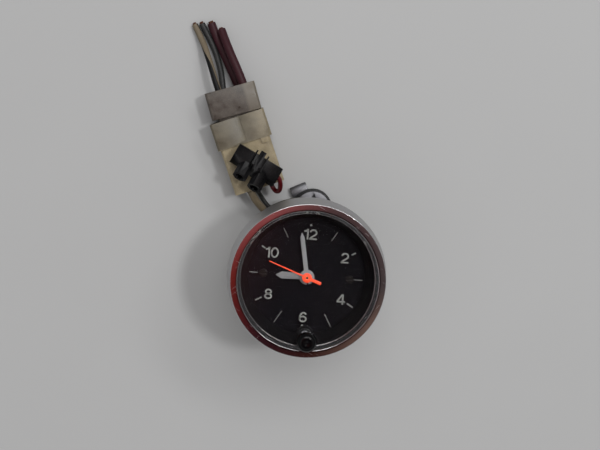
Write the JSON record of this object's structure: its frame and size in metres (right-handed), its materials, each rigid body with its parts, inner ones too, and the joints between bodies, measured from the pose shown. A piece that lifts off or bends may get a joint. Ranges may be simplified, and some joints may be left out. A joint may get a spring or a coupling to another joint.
{
  "type": "car dashboard clock",
  "caption": "Round panel clock with a chromed bezel, black dial, geared quartz hands, a push-and-turn setting knob, a rear lamp and a wired connector.",
  "frame": {"origin": "on the surface that the clock lies on, under its axis", "axes": "+Z out of the dial along the clock's axis, +Y towards 12 o'clock"},
  "size_m": [0.0822, 0.123, 0.0615],
  "materials": {
    "chrome": "polished",
    "lens_glass": "clear",
    "bulb_glass": "clear",
    "black_rubber": "matt",
    "black_plastic": "matt",
    "dial_paint": "matt",
    "gloss_black": "gloss",
    "olive_case": "satin",
    "steel": "satin",
    "browned_steel": "satin",
    "brass": "satin",
    "copper_wire": "satin",
    "iron": "matt",
    "white_plastic": "satin",
    "fibre": "matt",
    "board": "satin",
    "hand_white": "satin",
    "hand_orange": "satin",
    "cream_nylon": "satin",
    "grey_nylon": "satin",
    "cream_wire": "satin",
    "black_wire": "satin",
    "red_wire": "satin",
    "white_wire": "satin",
    "grey_wire": "satin",
    "plum_wire": "satin"
  },
  "bodies": {
    "case": {"bezel": "chrome", "lens": "lens_glass", "lens_gasket": "black_rubber", "dial_ring": "black_plastic", "dial": "dial_paint", "dial_screws": "browned_steel", "case_can": "olive_case", "mount_studs": "steel", "stud_nuts": "steel", "thumb_nuts": "steel", "back_plate": "brass", "front_plate": "brass", "plate_pillars": "brass", "front_posts": "brass", "rear_posts": "steel", "stator": "iron", "coil_core": "iron", "coil_bobbin": "white_plastic", "coil_winding": "copper_wire", "circuit_board": "board", "timing_crystal": "steel", "stem_bush": "black_plastic", "stem_spring": "steel", "lamp_shell": "steel", "lamp_insulator": "black_plastic", "bulb_cap": "brass", "lamp_bulb": "bulb_glass", "lamp_terminal": "steel", "wire_grommet": "black_rubber", "socket_housing": "cream_nylon", "plug_housing": "grey_nylon", "crimp_terminals": "brass", "cover_left": "gloss_black", "cover_right": "gloss_black", "supply_wire": "cream_wire", "lamp_wire": "black_wire", "jumper_wire": "red_wire", "white_pigtail": "white_wire", "grey_pigtail": "grey_wire", "plum_pigtail_low": "plum_wire", "plum_pigtail_high": "plum_wire"},
    "seconds": {"seconds_wheel": "white_plastic", "seconds_hand": "hand_orange"},
    "minute": {"cannon_pinion": "brass", "centre_wheel": "brass", "minute_hand": "hand_white"},
    "hour": {"hour_wheel": "brass", "hour_hand": "hand_white"},
    "minute_wheel": {"minute_wheel": "white_plastic"},
    "third": {"third_wheel": "white_plastic"},
    "step": {"step_wheel": "white_plastic"},
    "rotor": {"rotor_magnet": "iron", "rotor_pinion": "steel"},
    "idler": {"set_idler": "white_plastic"},
    "setter": {"set_pinion": "white_plastic"},
    "collar": {"spring_collar": "steel"},
    "knob": {"set_knob": "gloss_black", "set_stem": "steel", "clutch_disc": "fibre"}
  },
  "joints": [
    {"name": "seconds_turn", "type": "hinge", "parent": "case", "child": "seconds", "pos_m": [0, 0, 0.045], "axis": [0, 0, -1], "continuous": true},
    {"name": "minute_turn", "type": "hinge", "parent": "case", "child": "minute", "pos_m": [0, 0, 0.04], "axis": [0, 0, -1], "continuous": true},
    {"name": "hour_turn", "type": "hinge", "parent": "case", "child": "hour", "pos_m": [0, 0, 0.042], "axis": [0, 0, -1], "continuous": true},
    {"name": "minute_wheel_turn", "type": "hinge", "parent": "case", "child": "minute_wheel", "pos_m": [0.00033, -0.00599, 0.04], "axis": [0, 0, -1], "continuous": true},
    {"name": "third_turn", "type": "hinge", "parent": "case", "child": "third", "pos_m": [0.00883, -0.0051, 0.032], "axis": [0, 0, -1], "continuous": true},
    {"name": "step_turn", "type": "hinge", "parent": "case", "child": "step", "pos_m": [-0.00804, 0.00608, 0.028], "axis": [0, 0, -1], "continuous": true},
    {"name": "rotor_turn", "type": "hinge", "parent": "case", "child": "rotor", "pos_m": [-0.0115, 0, 0.025], "axis": [0, 0, -1], "continuous": true},
    {"name": "idler_turn", "type": "hinge", "parent": "case", "child": "idler", "pos_m": [0.00085, -0.01528, 0.04], "axis": [0, 0, -1], "continuous": true},
    {"name": "setter_turn", "type": "hinge", "parent": "case", "child": "setter", "pos_m": [0.00122, -0.02187, 0.04], "axis": [0, 0, -1], "continuous": true},
    {"name": "knob_push", "type": "slide", "parent": "case", "child": "collar", "axis": [0, 0, -1], "range_m": [0, 0.0018], "stiffness_N_per_m": 800, "springref_m": -0.001, "deforming": ["stem_spring"]},
    {"name": "knob_turn", "type": "hinge", "parent": "collar", "child": "knob", "pos_m": [0.00122, -0.02187, 0.058], "axis": [0, 0, -1], "continuous": true}
  ],
  "couplings": [
    {"joint": "minute_turn", "follows": "seconds_turn", "ratio": 0.016667},
    {"joint": "hour_turn", "follows": "seconds_turn", "ratio": 0.0013889},
    {"joint": "minute_wheel_turn", "follows": "seconds_turn", "ratio": -0.0055556},
    {"joint": "third_turn", "follows": "seconds_turn", "ratio": -0.13333},
    {"joint": "step_turn", "follows": "seconds_turn", "ratio": -5},
    {"joint": "rotor_turn", "follows": "seconds_turn", "ratio": 30},
    {"joint": "idler_turn", "follows": "seconds_turn", "ratio": 0.0052083},
    {"joint": "setter_turn", "follows": "seconds_turn", "ratio": -0.013889}
  ]
}
